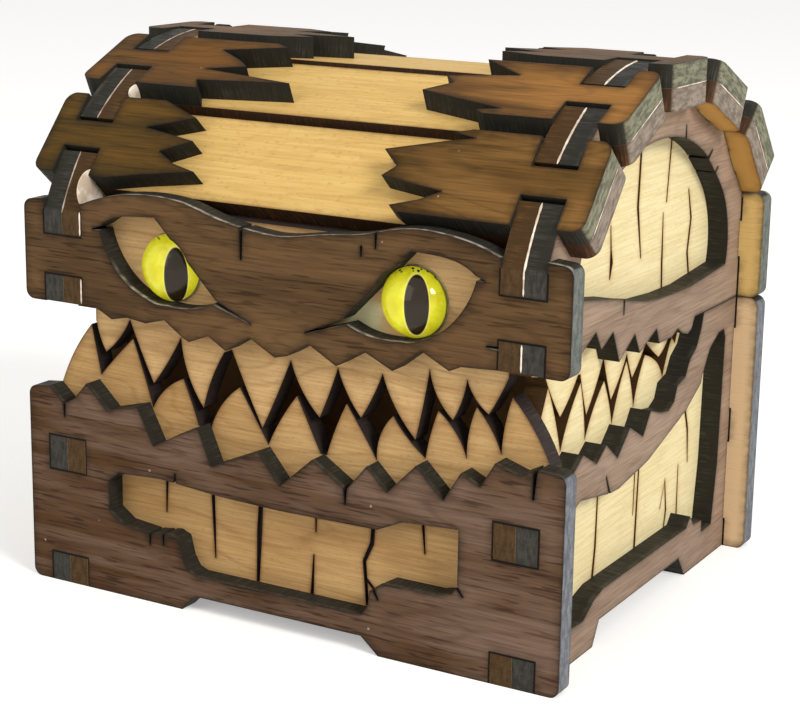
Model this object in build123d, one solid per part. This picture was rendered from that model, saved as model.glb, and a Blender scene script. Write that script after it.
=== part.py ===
from build123d import *

import os
from math import cos, radians, sin, sqrt

# Dice storage chest with a fanged face, cut from thin board and glued up in two layers.
# Millimetres. X runs to the right in a front view, Y to the back and Z up. Outlines are drawn
# with the chest centred between its front and back faces; at the end the whole chest is moved
# forwards so that its box, hinges included, is centred on the origin.

# ---------------------------------------------------------------- driving dimensions

SHEET = 3.2            # thickness of every board
WIDTH = 87.4           # across the front panel, the back panel and the roof boards
DEPTH = 71.3           # front face to back face
SIDE_OUTER = 40.0      # outer face of the side panels, from the middle
JOINT_LINE = 40.8      # height at which the lid meets the base, level with the hinge axis
JOINT_GAP = 0.1        # air between the lid and the base on that line
FIT = 0.05             # air round a tab in its slot
CORNER = 1.4           # rounding of the outer corners of the panels
ARCH_FRONT = 2.4       # height of the hollow between the feet, front and back
ARCH_SIDE = 3.4        # the same on the sides

FLOOR_BOTTOM = 3.6     # underside of the floor board
TAB_LOW = (0.0, 4.3)   # heights of the side panels' tabs: bottom, middle and, at the back, top
TAB_MID = (17.5, 22.5)
TAB_TOP = (36.0, JOINT_LINE - JOINT_GAP / 2)
LID_TAB_LOW = (42.9, 46.8)
LID_TAB_HIGH = 52.9    # bottom of the tab that runs on up into the roof

ROOF_CENTRE = 41.2     # height of the centre of the roof's barrel
ROOF_INNER = 32.35     # from that centre square out to the underside of a roof board
ROOF_PITCH = 24.5      # degrees from one roof board to the next
ROOF_SETBACKS = (0, 0, 0.3, 1.4, 3.0)  # how far back each board stands of an even barrel
ROOF_BOARD = 13.6      # width of a roof board
ROOF_SEAT = 5.9        # width of a gable's seat under a roof board
ROOF_WEB = 4.4         # what is left of a board between two notches, a little less than the seat
ROOF_TAB = 38.6        # radius to which the gables' tabs stand up between the boards
ROOF_CORNER = 1.8      # rounding of the roof boards' corners

EYE_X = 19.6           # glass eyes: place, size and swell
EYE_Z = 49.6
EYE_RADIUS = 4.8
EYE_HEIGHT = 3.9
IRIS_SHEET = 0.3       # printed disc behind the glass
EYE_RELIEF = 0.15      # air round the glass in the panel

ENGRAVING = 0.7        # depth of the plank cracks burnt into the linings

HINGE_X = 22.0         # middle of each hinge
HINGE_LENGTH = 12.0
HINGE_LEAF = 0.6       # thickness of a leaf
HINGE_REACH = 7.4      # from the axis to the far edge of a leaf
KNUCKLE_RADIUS = 1.3
KNUCKLE_GAP = 0.1      # air between knuckles, and between the barrel and the back panels
PIN_RADIUS = 0.65
PIN_AIR = 0.05         # running clearance of the pin
PIN_HEAD = (0.95, 0.4)  # radius and thickness of the pin's heads
SCREW_SHANK = 0.55
SCREW_LENGTH = 5.0
SCREW_HEAD = (1.1, 0.45)  # radius and height of a screw's head
SCREW_SPACING = 6.6
SCREW_DROP = 4.9       # from the axis to the screws

# ---------------------------------------------------------------- worked-out sizes

FRONT = -DEPTH / 2
FRONT_INNER = FRONT + SHEET
BACK = DEPTH / 2
BACK_INNER = BACK - SHEET
CAVITY_Y = DEPTH / 2 - 2 * SHEET
SIDE_MIDDLE = SIDE_OUTER - SHEET
SIDE_INNER = SIDE_OUTER - 2 * SHEET
EDGE = WIDTH / 2
BASE_TOP = JOINT_LINE - JOINT_GAP / 2
LID_BOTTOM = JOINT_LINE + JOINT_GAP / 2
SLOT_X = (SIDE_INNER - FIT, SIDE_OUTER + FIT)
ROOF_MIDDLE = ROOF_INNER + SHEET
ROOF_SEATS = [(ROOF_PITCH * (step - 2), setback) for step, setback in enumerate(ROOF_SETBACKS)]
HINGE_Y = BACK + KNUCKLE_GAP + KNUCKLE_RADIUS
Y_CENTRE = (FRONT + HINGE_Y + KNUCKLE_RADIUS) / 2

# ---------------------------------------------------------------- drawing helpers


def outline(points):
    """Face inside a closed line, drawn anticlockwise. A point (u, v) ends a straight
    stretch, (u, v, bulge) ends an arc that stands out by bulge, and a list of points is a
    smooth curve through them that starts from the point before it."""
    edges = []
    last = points[-1][-1] if isinstance(points[-1], list) else points[-1]
    start = Vector(*last[:2])
    for entry in points:
        if isinstance(entry, list):
            curve = [start] + [Vector(*point) for point in entry]
            edges.append(Spline(*curve))
            start = curve[-1]
            continue
        end = Vector(*entry[:2])
        if len(entry) == 3:
            outwards = Vector(end.Y - start.Y, start.X - end.X).normalized()
            edges.append(ThreePointArc(start, (start + end) * 0.5 + outwards * entry[2], end))
        else:
            edges.append(Line(start, end))
        start = end
    return make_face(edges)


def crack(points):
    """Thin tapering split along a line of (u, v, width) points."""
    one_side, other_side = [], []
    for index, (u, v, width) in enumerate(points):
        before, after = points[max(index - 1, 0)], points[min(index + 1, len(points) - 1)]
        along = Vector(after[0] - before[0], after[1] - before[1]).normalized()
        across = Vector(-along.Y, along.X) * (width / 2)
        one_side.append((u - across.X, v - across.Y))
        other_side.append((u + across.X, v + across.Y))
    return make_face(Polyline(*one_side, *reversed(other_side), close=True))


def rectangle(u_range, v_range):
    """Face from two ranges."""
    (u0, u1), (v0, v1) = u_range, v_range
    return outline([(u0, v0), (u1, v0), (u1, v1), (u0, v1)])


def rounded(face, corners, radius):
    """The face with the corners nearest to the given points rounded."""
    for corner in corners:
        nearest = face.vertices().sort_by_distance(Vector(*corner))[0]
        face = fillet(nearest, radius)
    return face


def mirrored(points):
    """Outline points turned left for right, and put back into anticlockwise order."""
    return [(-u, v) for u, v in reversed(points)]


def frontal(face, y_back, thickness=SHEET):
    """Board that faces the front: drawn in X and Z, from y_back forwards."""
    plane = Plane(origin=(0, y_back, 0), x_dir=(1, 0, 0), z_dir=(0, -1, 0))
    return extrude(plane * face, thickness)


def sideways(face, x_inner, thickness=SHEET):
    """Board that faces the right: drawn in Y and Z, from x_inner outwards."""
    plane = Plane(origin=(x_inner, 0, 0), x_dir=(0, 1, 0), z_dir=(1, 0, 0))
    return extrude(plane * face, thickness)


def roof_point(seat, apothem, offset):
    """(y, z) of a point square above a roof board's middle line, moved along its slope. A
    seat is a board's (slope in degrees, setback)."""
    slope = radians(seat[0])
    y = seat[1] + apothem * sin(slope) + offset * cos(slope)
    z = ROOF_CENTRE + apothem * cos(slope) - offset * sin(slope)
    return y, z


def on_roof(face, seat, apothem, thickness=SHEET):
    """Board laid on the roof: drawn in X and along the slope, from apothem outwards."""
    slope = radians(seat[0])
    normal = (0, sin(slope), cos(slope))
    origin = (0, *roof_point(seat, apothem, 0))
    return extrude(Plane(origin=origin, x_dir=(1, 0, 0), z_dir=normal) * face, thickness)


def engraved(board, cracks, place):
    """The board with cracks burnt into its outer face; place lays a face on the cut."""
    for points in cracks:
        board -= place(crack(points))
    return board


parts = {}


def add_pair(name, right):
    """A right-hand piece and its mirror image on the left."""
    parts[f"{name}_right"] = right
    parts[f"{name}_left"] = mirror(right, about=Plane.YZ)


# ---------------------------------------------------------------- base: front and back


def slots(heights):
    """Slots for the side panels' tabs, left and right, at each pair of heights."""
    openings = Sketch()
    for low, high in heights:
        for left, right in (SLOT_X, (-SLOT_X[1], -SLOT_X[0])):
            openings += rectangle((left, right), (low - FIT, high + FIT))
    return openings


def hinge_screw_places(up):
    """(x, z) of the hinge screws above (up = 1) or below (up = -1) the hinge axis."""
    places = []
    for middle in (-HINGE_X, HINGE_X):
        for step in (-0.5, 0.5):
            places.append((middle + step * SCREW_SPACING, JOINT_LINE + up * SCREW_DROP))
    return places


def screw_holes(up):
    """Pilot holes for the hinge screws, drawn in X and Z."""
    holes = Sketch()
    for x, z in hinge_screw_places(up):
        holes += Pos(x, z) * Circle(SCREW_SHANK)
    return holes


FEET_BOTTOM = [(-EDGE, 0), (-16.4, 0), (-14, ARCH_FRONT), (13.6, ARCH_FRONT), (16.4, 0), (EDGE, 0)]

# Jagged lower lip of the mouth, from right to left
LOWER_LIP = [
    (EDGE, 30.4), (39.3, 30.6), (37, 29.4), (33.5, 30.5), (31.4, 26.9), (28.5, 28.3), (26, 24.1),
    (21.8, 28.2), (17.4, 23.7), (14.2, 26.8), (11, 22.9), (5.6, 26.3), (0.3, 21.6), (-3.3, 25.9),
    (-11.2, 22.4), (-13.5, 27.7), (-16.5, 26.4), (-21.2, 23.8), (-24, 29.2), (-29.4, 27.8),
    (-33.1, 31.3), (-35.4, 28.7), (-37.3, 27.7), (-40, 30), (-EDGE, 29.6),
]
LIP_CRACKS = [
    [(-37.3, 28.5, 0.7), (-37.2, 25.6, 0.2)],
    [(10.9, 23.8, 0.8), (10.9, 20.8, 0.2)],
    [(39.3, 31.0, 0.8), (39.1, 26.5, 0.3)],
]

FRONT_WINDOW = [
    (-14, 5.5), (13.5, 5.5), (14.7, 7), (14.9, 9.2), (17.5, 10.7), (25, 10.7), (27.5, 11.3),
    (28.4, 12.5), (28.4, 20.5), (20, 20), (16, 18.2), (0, 18), (-10, 18.3), (-20, 19.1),
    (-27.5, 18.7), (-29.3, 17.2), (-29.3, 12.6), (-27, 11), (-22, 10.5), (-18.5, 11),
    (-17, 10.4), (-16.2, 7.5), (-15.3, 6),
]
WINDOW_CRACKS = [
    [(-22, 11.2, 0.6), (-22, 8.7, 0.2)],
    [(-19.7, 11.4, 0.6), (-19.6, 9.1, 0.2)],
    [(-17.6, 18.4, 0.6), (-17.4, 20.4, 0.2)],
    [(15.2, 10.2, 0.7), (16.3, 8.1, 0.2)],
    [(28, 12.8, 0.6), (29.3, 11.2, 0.2)],
]


def base_front_panel():
    face = outline(FEET_BOTTOM + LOWER_LIP)
    face = rounded(face, [(-EDGE, 0), (EDGE, 0), (EDGE, 30.4), (-EDGE, 29.6)], CORNER)
    face -= outline(FRONT_WINDOW)
    face -= slots([TAB_LOW, TAB_MID])
    for points in LIP_CRACKS + WINDOW_CRACKS:
        face -= crack(points)
    return frontal(face, FRONT_INNER)


# Lower fangs from right to left; the third number is the swell of the flank
LOWER_FANGS = [
    (SIDE_OUTER, 30), (34.2, 38.7, 0.5), (32.8, 30.7, 0.3), (29, 36.6, 0.4), (27.7, 29.3, 0.4),
    (23.3, 35.2, 0.6), (21.5, 28.3, 0.2), (16.4, 33.4, -0.3), (14, 26.7, 0.8), (9.1, 34, 0.1),
    (6, 26.2, 0.2), (5, 26.2), (1.1, 33.9), (-3.6, 26.1, 0.3), (-8.4, 33.7),
    (-13.3, 27, 0.7), (-15.5, 27), (-18.1, 33.5, 0.1), (-23.5, 28.4, 0.7), (-26.9, 38.2, 0.1),
    (-32.8, 32, 0.1), (-34.4, 39.4), (-SIDE_OUTER, 30, 0.5),
]
LINING_CRACKS = [
    [(-21.1, 19.5, 0.5), (-21.3, 13, 0.2)],
    [(-13.2, 20.5, 0.6), (-12.9, 13, 0.5), (-12.7, 7.6, 0.2)],
    [(-4.7, 20.5, 0.6), (-5.1, 13, 0.9), (-5.4, 5, 0.5)],
    [(4.4, 20.5, 0.4), (4.3, 14.7, 0.2)],
    [(4, 11.4, 0.2), (3.7, 5, 0.6)],
    [(13.8, 20.5, 0.5), (13.4, 14.8, 0.7), (12.2, 12, 0.6), (12.8, 5.6, 0.5)],
    [(12.6, 9.4, 0.5), (15.4, 6.6, 0.2)],
    [(21.2, 20.5, 0.5), (21.7, 14.8, 0.2)],
]


def base_front_lining():
    bottom = [(-SIDE_OUTER, ARCH_FRONT), (SIDE_OUTER, ARCH_FRONT)]
    face = outline(bottom + LOWER_FANGS)
    face -= slots([TAB_LOW, TAB_MID])
    board = frontal(face, FRONT_INNER + SHEET)
    cut = lambda sketch: frontal(sketch, FRONT_INNER + ENGRAVING, ENGRAVING)
    return engraved(board, LINING_CRACKS, cut)


def base_back_panel():
    face = outline(FEET_BOTTOM + [(EDGE, BASE_TOP), (-EDGE, BASE_TOP)])
    face = rounded(face, [(-EDGE, 0), (EDGE, 0), (EDGE, BASE_TOP), (-EDGE, BASE_TOP)], CORNER)
    face -= slots([TAB_LOW, TAB_MID, TAB_TOP])
    face -= screw_holes(-1)
    return frontal(face, BACK)


def base_back_lining():
    face = rectangle((-SIDE_INNER, SIDE_INNER), (FLOOR_BOTTOM, BASE_TOP)) - screw_holes(-1)
    return frontal(face, BACK_INNER)


def base_floor():
    face = rectangle((-SIDE_INNER, SIDE_INNER), (-CAVITY_Y, CAVITY_Y))
    return extrude(Plane.XY.offset(FLOOR_BOTTOM) * face, SHEET)


# ---------------------------------------------------------------- base: sides

# Edges that both layers of a side share, in (y, z): feet and tabs at the bottom and back,
# then tabs at the front
BASE_SIDE_BOTTOM = [
    (FRONT, TAB_LOW[0]), (-17, 0), (-15, ARCH_SIDE), (14, ARCH_SIDE), (16.5, 0), (BACK, 0),
    (BACK, TAB_LOW[1]), (BACK_INNER, TAB_LOW[1]), (BACK_INNER, TAB_MID[0]), (BACK, TAB_MID[0]),
    (BACK, TAB_MID[1]), (BACK_INNER, TAB_MID[1]), (BACK_INNER, TAB_TOP[0]), (BACK, TAB_TOP[0]),
    (BACK, BASE_TOP),
]
BASE_SIDE_FRONT = [
    (-CAVITY_Y, TAB_MID[1]), (FRONT, TAB_MID[1]), (FRONT, TAB_MID[0]), (-CAVITY_Y, TAB_MID[0]),
    (-CAVITY_Y, TAB_LOW[1]), (FRONT, TAB_LOW[1]),
]

# Tops of the two layers, from back to front
SIDE_LIP = [
    (19.2, BASE_TOP), (18.5, 38.5), (17, 36), (14.5, 34.5), (13, 32.2), (10, 31.5), (9, 29.3),
    (7, 28.4), (4, 28.8), (0.3, 30), (-2.2, 26.8), (-7, 29.3), (-11, 25.9), (-15, 28.8),
    (-18, 26.9), (-22.5, 29.3), (-26, 27.2), (-CAVITY_Y, 29.2),
]
SIDE_FANGS = [
    (18.2, BASE_TOP), (16.2, 36.2), (14.8, 37.4), (11.8, 31.9, 0.2), (9.6, 34.6, 0.2),
    (4.8, 36.8, 0.2), (1.3, 29.8, 0.4), (-1.8, 37.3, 0.3), (-6.2, 29.1, 0.4), (-9.4, 36.1, 0.3),
    (-15.2, 29, 0.5), (-17.2, 37.6, 0.3), (-23, 29.3, 0.5), (-27.4, 39.2, 0.3),
    (-CAVITY_Y, 35.5),
]
SIDE_WINDOW = [
    (-25, 5.2), (-20.5, 5), (-17, 7), (-14, 7.7), (16.5, 7.5), (18, 9), (19.5, 7.3), (22.8, 7),
    (23, 5), (27, 5.2), (28.3, 15), (28.8, 35), (28, 36.4), (26, 36.3), (22.5, 34.5), (20, 31),
    (19.5, 29.7), (14, 26.8), (8, 25), (0, 22.6), (-10, 21.2), (-13, 21.3), (-23, 23), (-25, 22),
]
SIDE_CRACKS = [
    [(-9.9, 24, 0.3), (-10.2, 12, 0.6), (-11.1, 5, 0.7)],
    [(3.1, 24, 0.5), (3.0, 12.9, 0.2)],
    [(4.6, 24, 0.4), (4.0, 5, 0.7)],
    [(13.4, 10.9, 0.2), (14.9, 15.1, 0.6), (15.8, 10.1, 0.5), (14.8, 5, 0.3)],
    [(20.0, 16.2, 0.2), (20.3, 5, 0.5)],
    [(21.2, 26, 0.6), (23.1, 21.2, 0.6), (23.8, 15.6, 0.2)],
]


def base_side_panel():
    face = outline(BASE_SIDE_BOTTOM + SIDE_LIP + BASE_SIDE_FRONT)
    face -= outline(SIDE_WINDOW)
    face -= crack([(-13, 20.8, 0.6), (-14.6, 24.2, 0.2)])
    return sideways(face, SIDE_MIDDLE)


def base_side_lining():
    face = outline(BASE_SIDE_BOTTOM + SIDE_FANGS + BASE_SIDE_FRONT)
    cut = lambda sketch: sideways(sketch, SIDE_MIDDLE - ENGRAVING, ENGRAVING)
    return engraved(sideways(face, SIDE_INNER), SIDE_CRACKS, cut)


# ---------------------------------------------------------------- lid: front and back

# Brow of the eye panel, from right to left
BROW = [
    (30, 58.8), (26, 59.6), (22, 59.9), (18, 59.5), (13, 58.3), (8, 57.7), (4, 57.1), (0, 56.6),
    (-5, 57), (-11, 58.2), (-15, 59.4), (-20, 60.0), (-25, 59.8), (-30, 58.8),
]
BROW_END = (SIDE_INNER - 0.3, 57.6)
# Jagged upper lip, from left to right
UPPER_LIP = [
    (-31, 42.9), (-28.2, 41.5), (-25.5, 42.1), (-22.2, 41.7), (-19, 42.6), (-16, 40.6),
    (-14.8, 40), (-11.5, 41.3), (-8.6, 39.6), (-4.6, 42), (-0.5, 39.8), (1.5, 40.3), (5, 42.4),
    (9.3, 40), (13.7, 42.6), (18, 40.6), (22.3, 43.9), (26.5, 41.8), (28.2, 42.6),
]
# Right eye, from its inner corner along the lower lid
EYE_INNER_CORNER = (10.1, 46.4)
LOWER_LID = [(13, 45.1), (19, 44.7), (24, 46.1), (28, 49.7), (30.2, 54.6)]
UPPER_LID = [(28.5, 55.8), (25, 56.7), (20.5, 57)]
FACE_CRACKS = [
    [(-6, 57.4, 0.7), (-6, 52.7, 0.3)],
    [(15.2, 59.4, 0.5), (15.2, 56.6, 0.2)],
    [(13, 56.8, 0.4), (13, 55.3, 0.2)],
    [(34, 45.8, 0.5), (31.8, 45.8, 0.3)],
]


def eye_opening():
    """Right eye: the slanted opening, its cracks and the round relief for the glass."""
    face = outline([EYE_INNER_CORNER, LOWER_LID, UPPER_LID])
    face += Pos(EYE_X, EYE_Z) * Circle(EYE_RADIUS + EYE_RELIEF)
    face += crack([(11, 46.4, 0.8), (7.4, 45.1, 0.5), (4.3, 43.9, 0.15)])
    return face + crack([(29.6, 54.6, 0.7), (31.4, 54.2, 0.2)])


def lid_front_panel():
    left_half = [(-EDGE, 42.8), (-SLOT_X[1], 42.8), (-SLOT_X[0], 42.9)]
    right_half = [(SLOT_X[0], 42.9), (SLOT_X[1], 42.8), (EDGE, 42.8)]
    right_top = [(EDGE, 57.4), (SLOT_X[1], 57.7), BROW_END]
    left_top = [(-BROW_END[0], BROW_END[1]), (-SLOT_X[1], 57.9), (-EDGE, 57.4)]
    brow = BROW + [left_top[0]]
    face = outline(left_half + UPPER_LIP + right_half + right_top + [brow] + left_top[1:])
    face = rounded(face, [(-EDGE, 42.8), (EDGE, 42.8), (EDGE, 57.4), (-EDGE, 57.4)], CORNER)
    face -= slots([(LID_TAB_LOW[0] - 1, LID_TAB_LOW[1]), (LID_TAB_HIGH, LID_TAB_HIGH + 10)])
    right_eye = eye_opening()
    face -= right_eye
    face -= mirror(right_eye, about=Plane.YZ)
    for points in FACE_CRACKS:
        face -= crack(points)
    return frontal(face, FRONT_INNER)


# Upper fangs from left to right, in the same way
UPPER_FANGS = [
    (-33.4, 39.8), (-31.8, 35.6, 0.2), (-27.4, 41, 0.4), (-23.3, 32.1, 0.1), (-18.4, 39.6, 0.2),
    (-14.6, 29.8, 0.8), (-11, 38.4, -0.4), (-9.7, 39), (-4.6, 28.4, 0.1), (0.1, 38.9, 0.1),
    (4.8, 31.4, 0.6), (7.7, 38.9, 0.1), (11.4, 32.4, 0.4), (14.7, 39.1, 0.2), (19.9, 30.7, 0.6),
    (21.9, 40.8, 0.1), (25.5, 34.3, 0.7), (27.5, 40.2, 0.3), (30.8, 35.9, 0.5), (33.4, 40.9, 0.1),
]
LINING_TOP = 57.4      # top edge of the front lining, under the first roof board
LID_BACK_TOP = 57.1    # top edge of both layers of the back


def lid_front_lining():
    half = SIDE_INNER - FIT
    top = [(half, 41.2), (half, LINING_TOP), (-half, LINING_TOP), (-half, 40)]
    return frontal(outline(UPPER_FANGS + top), FRONT_INNER + SHEET)


def lid_back_panel():
    face = rectangle((-EDGE, EDGE), (LID_BOTTOM, LID_BACK_TOP))
    corners = [(x, z) for x in (-EDGE, EDGE) for z in (LID_BOTTOM, LID_BACK_TOP)]
    face = rounded(face, corners, CORNER)
    face -= slots([(LID_BOTTOM - 1, LID_TAB_LOW[1]), (LID_TAB_HIGH, LID_TAB_HIGH + 10)])
    face -= screw_holes(1)
    return frontal(face, BACK)


def lid_back_lining():
    half = SIDE_INNER - FIT
    face = rectangle((-half, half), (LID_BOTTOM, LID_BACK_TOP)) - screw_holes(1)
    return frontal(face, BACK_INNER)


# ---------------------------------------------------------------- lid: gables

# Lower edges of the two layers in (y, z), from front to back
GABLE_LIP = [
    (-30.5, 44.8), (-27, 46.2), (-24.8, 43.4), (-20, 45.6), (-18, 42.8),
    (-14.3, 44.5), (-11.8, 39.8), (-6.8, 42.7), (-4.8, 39.6), (1, 41.9), (2.2, 39.5), (7, 39.5),
    (9, 40.3), (11, 39.2), (13, 38.7), (14.5, 39.2), (15.5, LID_BOTTOM),
]
GABLE_FANGS = [
    (FRONT_INNER, 41.8), (-28.4, 40.9), (-23.4, 34.3, 0.2), (-18.2, 38.9, 0.3), (-17.4, 38.9),
    (-15, 32.6, 0.1), (-9.9, 39.6, 0.3), (-6.8, 32.8, 0.1), (-1.8, 38.4, 0.3), (0.4, 34.4, 0.1),
    (5, 38.6, 0.2), (10, 35.4, 0.1), (13.1, 37.2, 0.2), (15.3, LID_BOTTOM),
]
GABLE_BACK = [
    (BACK, LID_BOTTOM), (BACK, LID_TAB_LOW[1]), (BACK_INNER, LID_TAB_LOW[1]),
    (BACK_INNER, LID_TAB_HIGH), (BACK, LID_TAB_HIGH),
]
GABLE_FRONT = [
    (FRONT, LID_TAB_HIGH), (FRONT_INNER, LID_TAB_HIGH), (FRONT_INNER, LID_TAB_LOW[1]),
    (FRONT, LID_TAB_LOW[1]), (FRONT, LID_TAB_LOW[0]), (FRONT_INNER, LID_TAB_LOW[0]),
]
GABLE_WINDOW_CRACKS = [
    [(8.5, 67.2, 0.6), (8.5, 70, 0.2)],
    [(15.8, 63.6, 0.6), (18, 64.4, 0.5), (19.2, 65.2, 0.2)],
    [(19.6, 60.8, 0.6), (21.8, 62.4, 0.2)],
    [(-11, 48.9, 0.6), (-11, 46.2, 0.2)],
]
GABLE_CRACKS = [
    [(-9.3, 58, 0.2), (-8.9, 54.6, 0.4), (-8.6, 52.6, 1.0), (-9, 50.4, 0.3)],
    [(0.3, 70, 0.6), (-0.2, 59.2, 0.7), (1.6, 51.6, 0.3)],
    [(11.4, 70, 0.5), (10.2, 58.4, 0.3)],
    [(9.2, 57, 0.2), (9.5, 49.6, 0.6), (9.9, 44.5, 0.5)],
    [(18.6, 59.2, 0.3), (20.1, 54.6, 0.6), (19.2, 49.6, 0.6), (20.6, 44.5, 0.5)],
]


def tab_bulge(start, end):
    """How far a tab's round top stands out from the straight line between its corners."""
    chord = sqrt((end[0] - start[0]) ** 2 + (end[1] - start[1]) ** 2)
    return ROOF_TAB - sqrt(ROOF_TAB ** 2 - chord ** 2 / 4)


def roof_tabs():
    """Top edge of a gable from back to front: a seat under each roof board, and between
    the boards tabs with round tops."""
    half = ROOF_SEAT / 2
    tab_height = sqrt(ROOF_TAB ** 2 - half ** 2)
    end_height = ROOF_CENTRE + sqrt(ROOF_TAB ** 2 - BACK ** 2)
    points = [(BACK, end_height)]
    for seat in reversed(ROOF_SEATS):
        top = roof_point(seat, tab_height, half)
        points.append((*top, tab_bulge(points[-1], top)))
        points.append(roof_point(seat, ROOF_INNER, half))
        points.append(roof_point(seat, ROOF_INNER, -half))
        points.append(roof_point(seat, tab_height, -half))
    front_end = (FRONT, end_height)
    points.append((*front_end, tab_bulge(points[-1], front_end)))
    return points


def gable_window():
    """Arched opening of the gable panel."""
    sill = [(-24.5, 50.7), (-14, 49), (-8, 47.6), (-3, 46.6), (5, 46), (13, 45.8), (27, 46.8)]
    back_curve = [(27.1, 53), (25, 57.5), (22, 60.6), (17, 64.6)]
    crown = [(12, 67), (6, 68.6), (0, 69), (-6, 68.6), (-12, 67), (-17, 64.6)]
    front_curve = [(-22, 60.6), (-25, 57.5), (-26, 54)]
    return outline(sill + [back_curve, crown, front_curve])


def gable_panel():
    face = outline(GABLE_LIP + GABLE_BACK + roof_tabs() + GABLE_FRONT)
    face -= gable_window()
    for points in GABLE_WINDOW_CRACKS:
        face -= crack(points)
    return sideways(face, SIDE_MIDDLE)


def gable_lining():
    face = outline(GABLE_FANGS + GABLE_BACK + roof_tabs() + GABLE_FRONT)
    cut = lambda sketch: sideways(sketch, SIDE_MIDDLE - ENGRAVING, ENGRAVING)
    return engraved(sideways(face, SIDE_INNER), GABLE_CRACKS, cut)


# ---------------------------------------------------------------- lid: roof boards

# Splintered inner ends of the walnut caps: (distance from the middle, place across the
# board) from the upper edge of the board to its lower one
SPLINTERS = {
    "front_left": [(26, 6.8), (19.8, 4.4), (27.5, 2.1), (18.7, 0.6), (23.4, -1.6), (20.1, -3.4),
                   (16.3, -4.3), (24.8, -5.7), (30.5, -6.8)],
    "front_right": [(23.6, 6.8), (20.9, 6.1), (24.4, 5.5), (20.5, 4.7), (11.7, 2.5), (14.6, 0.2),
                    (12.8, -1.6), (22.5, -3.0), (19.6, -4.6), (15.6, -5.9), (17.2, -6.8)],
    "upper_left": [(16.8, 6.8), (14.6, 5.9), (24.8, 3.9), (20.3, 1.5), (18.2, -0.1),
                   (24.5, -1.6), (8.8, -3.6), (24, -4.7), (22.7, -6.8)],
    "upper_right": [(17.7, 6.8), (24.3, 3.3), (13.7, 1.9), (15.6, 0.2), (12, -2.3), (25.5, -5.3),
                    (22, -6.0), (23.4, -6.8)],
    "top_left": [(22, 6.8), (17, 4.8), (21.5, 2.4), (9.8, -0.4), (19.5, -2.2), (14.5, -4.2),
                 (21, -6.8)],
    "top_right": [(24.3, 6.8), (19, 4.4), (23.5, 2.6), (15, 0.2), (22, -2), (17, -4.6),
                  (24, -6.8)],
}
# Splintered ends of each board from front to back. The two boards behind the ridge are the
# two in front of it turned end for end.
ROOF_LAYOUT = [
    ("front_left", "front_right", False),
    ("upper_left", "upper_right", False),
    ("top_left", "top_right", False),
    ("upper_right", "upper_left", True),
    ("front_right", "front_left", True),
]


def roof_notches():
    """Notches in both long edges of a roof board for the gables' tabs, at both ends."""
    openings = Sketch()
    for left, right in (SLOT_X, (-SLOT_X[1], -SLOT_X[0])):
        for low, high in ((ROOF_WEB / 2, ROOF_BOARD), (-ROOF_BOARD, -ROOF_WEB / 2)):
            openings += rectangle((left, right), (low, high))
    return openings


def roof_plank(seat):
    """Full-width lower layer of a roof board."""
    half = ROOF_BOARD / 2
    face = rectangle((-EDGE, EDGE), (-half, half))
    corners = [(-EDGE, -half), (EDGE, -half), (EDGE, half), (-EDGE, half)]
    face = rounded(face, corners, ROOF_CORNER) - roof_notches()
    return on_roof(face, seat, ROOF_INNER)


def roof_cap(seat, splinters, turned, left):
    """Upper layer of one end of a roof board, with its splintered inner end."""
    half = ROOF_BOARD / 2
    points = [(EDGE, -half), (EDGE, half)]
    points += [(x, -across if turned else across) for x, across in SPLINTERS[splinters]]
    if turned:
        points = points[:2] + points[:1:-1]
    if left:
        points = mirrored(points)
    side = -1 if left else 1
    face = outline(points)
    face = rounded(face, [(side * EDGE, -half), (side * EDGE, half)], ROOF_CORNER)
    return on_roof(face - roof_notches(), seat, ROOF_MIDDLE)


# ---------------------------------------------------------------- glass eyes


def eye_iris():
    """Printed disc that the glass is glued to, resting on the lining."""
    return Pos(EYE_X, FRONT_INNER, EYE_Z) * Rot(90, 0, 0) * extrude(Circle(EYE_RADIUS), IRIS_SHEET)


def eye_glass():
    """Domed glass: a slice of a ball with a short upright rim."""
    rim = 0.5
    swell = EYE_HEIGHT - IRIS_SHEET - rim
    ball = (EYE_RADIUS ** 2 + swell ** 2) / (2 * swell)
    crown = (0, rim + swell)
    shoulder = (EYE_RADIUS, rim)
    slope = radians(45) * EYE_RADIUS / ball
    halfway = (ball * sin(slope), crown[1] - ball + ball * cos(slope))
    profile = make_face([
        Line((0, 0), (EYE_RADIUS, 0)), Line((EYE_RADIUS, 0), shoulder),
        ThreePointArc(shoulder, halfway, crown), Line(crown, (0, 0)),
    ])
    dome = revolve(Plane.XZ * profile, Axis.Z)
    return Pos(EYE_X, FRONT_INNER - IRIS_SHEET, EYE_Z) * Rot(90, 0, 0) * dome


# ---------------------------------------------------------------- hinges


def knuckles(up, middle):
    """(start, length) of the knuckles of the leaf above or below the axis: the base's leaf
    has the two outer ones, the lid's leaf the one between them."""
    third = HINGE_LENGTH / 3
    start = middle - HINGE_LENGTH / 2
    if up > 0:
        return [(start + third + KNUCKLE_GAP / 2, third - KNUCKLE_GAP)]
    length = third - KNUCKLE_GAP / 2
    return [(start, length), (start + HINGE_LENGTH - length, length)]


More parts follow.
